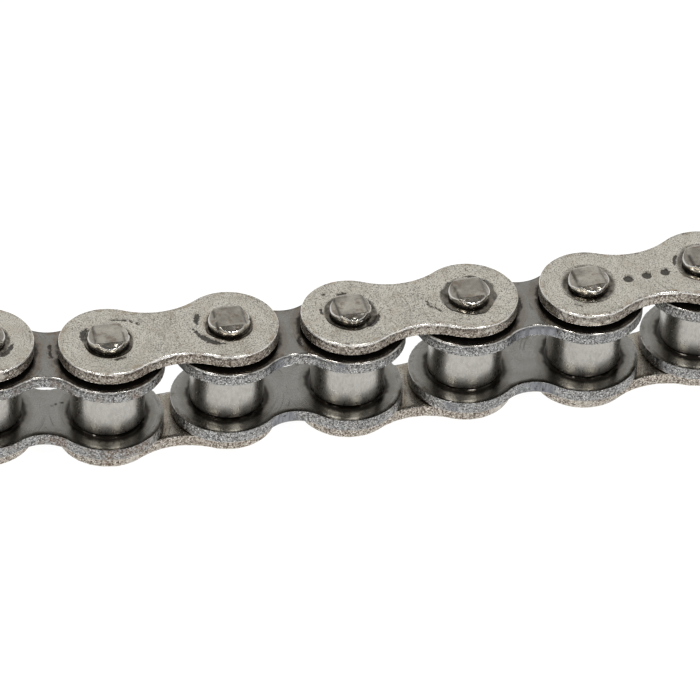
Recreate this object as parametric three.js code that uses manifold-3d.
// A nine-link length of motorcycle roller chain: half-inch pitch, quarter-inch wide, riveted pins.
// It lies on its side, so every pin is vertical. Inner links (two plates pressed onto two bushes,
// with a free roller on each bush) alternate with outer links (two plates riveted onto two pins).
// Millimetres, +Z up, +X along the middle link. The origin is under the middle of the chain's box.
import * as THREE from "three";
import { mergeVertices } from "three/addons/utils/BufferGeometryUtils.js";
import Module from "manifold-3d";

const wasm = await Module();
wasm.setup();

// ---- Driving dimensions ----
const PITCH = 12.7;
const INNER_WIDTH = 6.35; // clear width between the inner plates
const PLATE_THICKNESS = 1.5;
const INNER_PLATE = { lobe: 5.89, waist: 3.51 }; // end radius, half height at the waist
const OUTER_PLATE = { lobe: 5.13, waist: 3.44 };

const ROLLER_RADIUS = 3.885;
const ROLLER_LENGTH = 6.05;
const ROLLER_CHAMFER = 0.3;
const ROLLER_FLOOR_GAP = 0.08; // rollers slide down their bushes, nearly to the lower plate
const BUSH_RADIUS = 2.55;
const BUSH_BORE = 2.03;
const PIN_RADIUS = 1.985;

// The end of a pin stands out of its plate, spread to a rim and then staked to a square top.
const HEAD = { height: 1.07, rimHeight: 0.46, rimRadius: 2.2, topRadius: 2.02 };
const STAKE_HALF_SIDE = 1.38;
const STAKE_FALL = 0.68; // how far a staked facet drops for each millimetre outwards
const STAKE_TWIST = -2; // degrees from the link's own direction

// Clearances
const ROLLER_CLEARANCE = 0.07; // between bush and roller, on the radius
const PRESS_GAP = 0.02; // drawn between pressed parts, which really touch
const UPPER_SIDE_PLAY = 0.36; // inner links drop onto the lower outer plates,
const LOWER_SIDE_PLAY = 0.08; // so most of the side play shows at the top

// Each link's direction from +X, in degrees, from the left end: a slack chain is never straight.
// Links 0, 2, 4 ... are inner links and 1, 3, 5 ... are outer links.
const HEADINGS = [-8.7, -4.7, -8.8, 3.9, 0, 4, 0.1, 7.4, 3.3];

// Facets
const ROUND_SIDES = 20;
const LOBE_STEPS = 14;
const WAIST_STEPS = 4;

// ---- Heights worked out from the dimensions, from the middle of the pins ----
const INNER_HALF_WIDTH = INNER_WIDTH / 2;
const SIDE_PLAY = UPPER_SIDE_PLAY + LOWER_SIDE_PLAY;
const OUTER_FACE = INNER_HALF_WIDTH + 2 * PLATE_THICKNESS + SIDE_PLAY / 2;
const INNER_DROP = (UPPER_SIDE_PLAY - LOWER_SIDE_PLAY) / 2;
const PIN_END = OUTER_FACE + HEAD.height;

// ---- Materials ----
const steel = (color, roughness) => new THREE.MeshStandardMaterial({ color, roughness, metalness: 1 });
const MATERIALS = {
  outerPlate: steel(0xb5b0a6, 0.42),
  innerPlate: steel(0x9c988f, 0.4),
  roller: steel(0xc2beb4, 0.3),
  bush: steel(0xaaa69c, 0.4),
  pin: steel(0x8f8b83, 0.38),
};

// ---- Solids: three.js geometry to manifold-3d and back, for cutting ----
function solidOf(geometry) {
  const bare = geometry.clone();
  bare.deleteAttribute("normal");
  bare.deleteAttribute("uv");
  const merged = mergeVertices(bare, 1e-4);
  return new wasm.Manifold(
    new wasm.Mesh({
      numProp: 3,
      vertProperties: merged.attributes.position.array,
      triVerts: new Uint32Array(merged.index.array),
    }),
  );
}

function geometryOf(solid) {
  const mesh = solid.getMesh();
  const geometry = new THREE.BufferGeometry();
  geometry.setAttribute("position", new THREE.BufferAttribute(mesh.vertProperties, 3));
  geometry.setIndex(new THREE.BufferAttribute(mesh.triVerts, 1));
  geometry.computeVertexNormals();
  return geometry;
}

// ---- Shapes ----
// Points along an arc, without its last point, so that arcs join end to end.
function arc(x, y, radius, from, to, steps) {
  return new THREE.EllipseCurve(x, y, radius, radius, from, to, to < from)
    .getPoints(steps)
    .slice(0, -1);
}

// The radius through the corners of a regular polygon whose flats are this far from its centre,
// so that a faceted bore stays outside a faceted shaft at every angle.
const aroundFlats = (radius) => radius / Math.cos(Math.PI / ROUND_SIDES);

// A figure-eight plate outline with round lobes on both pins, joined by hollow arcs that meet
// the lobes smoothly, and a round hole at each pin. The left pin is at the origin.
function plateShape({ lobe, waist }, holeRadius) {
  const half = PITCH / 2;
  const hollow = (half ** 2 + waist ** 2 - lobe ** 2) / (2 * (lobe - waist));
  const offset = waist + hollow;
  const join = Math.atan2(offset, -half); // where the right lobe meets the upper hollow
  const shape = new THREE.Shape([
    ...arc(PITCH, 0, lobe, -join, join, LOBE_STEPS),
    ...arc(half, offset, hollow, join - Math.PI, -join, WAIST_STEPS),
    ...arc(0, 0, lobe, Math.PI - join, Math.PI + join, LOBE_STEPS),
    ...arc(half, -offset, hollow, join, Math.PI - join, WAIST_STEPS),
  ]);
  for (const x of [0, PITCH]) {
    shape.holes.push(new THREE.Path(arc(x, 0, holeRadius, 0, 2 * Math.PI, ROUND_SIDES)));
  }
  return shape;
}

function plateGeometry(outline, holeRadius) {
  return new THREE.ExtrudeGeometry(plateShape(outline, holeRadius), {
    depth: PLATE_THICKNESS,
    bevelEnabled: false,
  });
}

// A turned piece from a profile of [radius, height] pairs, with its axis on Z.
function turned(profile, sides = ROUND_SIDES) {
  const points = profile.map(([radius, height]) => new THREE.Vector2(radius, height));
  return new THREE.LatheGeometry(points, sides).rotateX(Math.PI / 2);
}

function bushGeometry() {
  const half = INNER_HALF_WIDTH + PLATE_THICKNESS;
  const bore = aroundFlats(BUSH_BORE);
  return turned([
    [bore, -half],
    [BUSH_RADIUS, -half],
    [BUSH_RADIUS, half],
    [bore, half],
    [bore, -half],
  ]);
}

function rollerGeometry() {
  const half = ROLLER_LENGTH / 2;
  const bore = aroundFlats(BUSH_RADIUS + ROLLER_CLEARANCE);
  const shoulder = ROLLER_RADIUS - ROLLER_CHAMFER;
  return turned([
    [bore, -half],
    [shoulder, -half],
    [ROLLER_RADIUS, -half + ROLLER_CHAMFER],
    [ROLLER_RADIUS, half - ROLLER_CHAMFER],
    [shoulder, half],
    [bore, half],
    [bore, -half],
  ]);
}

// A straight pin whose two ends are spread into a rim, then cut by a square, blunt-ended bar.
function pinGeometry() {
  const rim = OUTER_FACE + HEAD.rimHeight;
  const body = turned([
    [0, -PIN_END],
    [HEAD.topRadius, -PIN_END],
    [HEAD.rimRadius, -rim],
    [PIN_RADIUS, -OUTER_FACE],
    [PIN_RADIUS, OUTER_FACE],
    [HEAD.rimRadius, rim],
    [HEAD.topRadius, PIN_END],
    [0, PIN_END],
  ]);
  const outward = HEAD.rimRadius; // the facets run out well past the rim
  const corner = STAKE_HALF_SIDE * Math.SQRT2;
  const wide = (STAKE_HALF_SIDE + outward) * Math.SQRT2;
  const shoulder = PIN_END - outward * STAKE_FALL;
  const stake = turned(
    [
      [0, -PIN_END],
      [corner, -PIN_END],
      [wide, -shoulder],
      [wide, shoulder],
      [corner, PIN_END],
      [0, PIN_END],
    ],
    4,
  ).rotateZ(Math.PI / 4 + THREE.MathUtils.degToRad(STAKE_TWIST));
  return geometryOf(solidOf(body).intersect(solidOf(stake)));
}

const GEOMETRY = {
  innerPlate: plateGeometry(INNER_PLATE, BUSH_RADIUS + PRESS_GAP),
  outerPlate: plateGeometry(OUTER_PLATE, PIN_RADIUS + PRESS_GAP),
  bush: bushGeometry(),
  roller: rollerGeometry(),
  pin: pinGeometry(),
};

// ---- Assembly ----
function place(link, kind, piece, x, z) {
  const mesh = new THREE.Mesh(GEOMETRY[kind], MATERIALS[kind]);
  mesh.name = `${link.name}_${piece}`;
  mesh.position.set(x, 0, z);
  link.add(mesh);
}

const SIDES = { left: 0, right: PITCH };

function innerLink(number) {
  const link = new THREE.Group();
  link.name = `inner_link_${number}`;
  place(link, "innerPlate", "upper_plate", 0, INNER_HALF_WIDTH - INNER_DROP);
  place(link, "innerPlate", "lower_plate", 0, -INNER_HALF_WIDTH - PLATE_THICKNESS - INNER_DROP);
  const rollerHeight = (ROLLER_LENGTH - INNER_WIDTH) / 2 + ROLLER_FLOOR_GAP - INNER_DROP;
  for (const [side, x] of Object.entries(SIDES)) {
    place(link, "bush", `${side}_bush`, x, -INNER_DROP);
    place(link, "roller", `${side}_roller`, x, rollerHeight);
  }
  return link;
}

function outerLink(number) {
  const link = new THREE.Group();
  link.name = `outer_link_${number}`;
  place(link, "outerPlate", "upper_plate", 0, OUTER_FACE - PLATE_THICKNESS);
  place(link, "outerPlate", "lower_plate", 0, -OUTER_FACE);
  for (const [side, x] of Object.entries(SIDES)) {
    place(link, "pin", `${side}_pin`, x, 0);
  }
  return link;
}

// Each link starts at the pin where the one before it ends.
const chain = new THREE.Group();
const pin = new THREE.Vector3();
HEADINGS.forEach((heading, index) => {
  const number = Math.floor(index / 2) + 1;
  const link = index % 2 ? outerLink(number) : innerLink(number);
  const angle = THREE.MathUtils.degToRad(heading);
  link.rotation.z = angle;
  link.position.copy(pin);
  chain.add(link);
  pin.add(new THREE.Vector3(Math.cos(angle), Math.sin(angle), 0).multiplyScalar(PITCH));
});

// The lowest pin ends stand at height zero, with the origin under the middle of the box.
const box = new THREE.Box3().setFromObject(chain, true);
const middle = box.getCenter(new THREE.Vector3());
chain.position.set(-middle.x, -middle.y, -box.min.z);

const part = new THREE.Group();
part.add(chain);

export default part;
